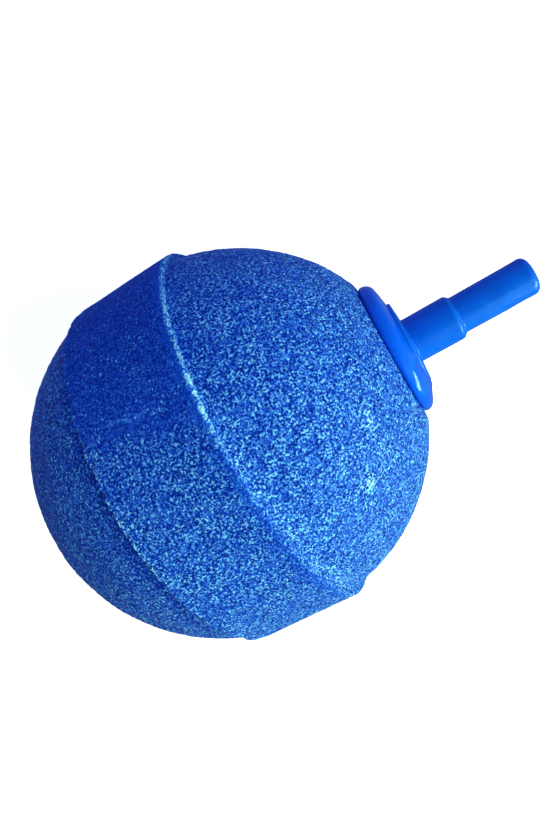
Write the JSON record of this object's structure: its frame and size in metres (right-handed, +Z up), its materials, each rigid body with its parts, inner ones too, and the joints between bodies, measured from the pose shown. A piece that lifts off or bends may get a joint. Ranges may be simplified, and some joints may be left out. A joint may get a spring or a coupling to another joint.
{
  "type": "air stone",
  "caption": "Ball-shaped aquarium air stone of bonded grit with a raised belt, and a moulded stem with a domed collar and a smooth hose nozzle.",
  "frame": {"origin": "on the stem's axis, in the middle of the belt's width, which is close to the middle of the ball", "axes": "+X along the stem, from the ball towards the hose; +Z up when the stone lies on its belt with the stem level"},
  "size_m": [0.0692, 0.05, 0.05],
  "materials": {
    "grit": "rough bonded grit, dyed blue all through",
    "stem_plastic": "moulded blue plastic, satin",
    "collar_plastic": "soft moulded blue plastic, glossy",
    "glue": "cured epoxy"
  },
  "bodies": {
    "root": {"porous_ball": "grit", "hose_stem": "stem_plastic", "sealing_collar": "collar_plastic", "socket_glue": "glue"}
  },
  "joints": []
}
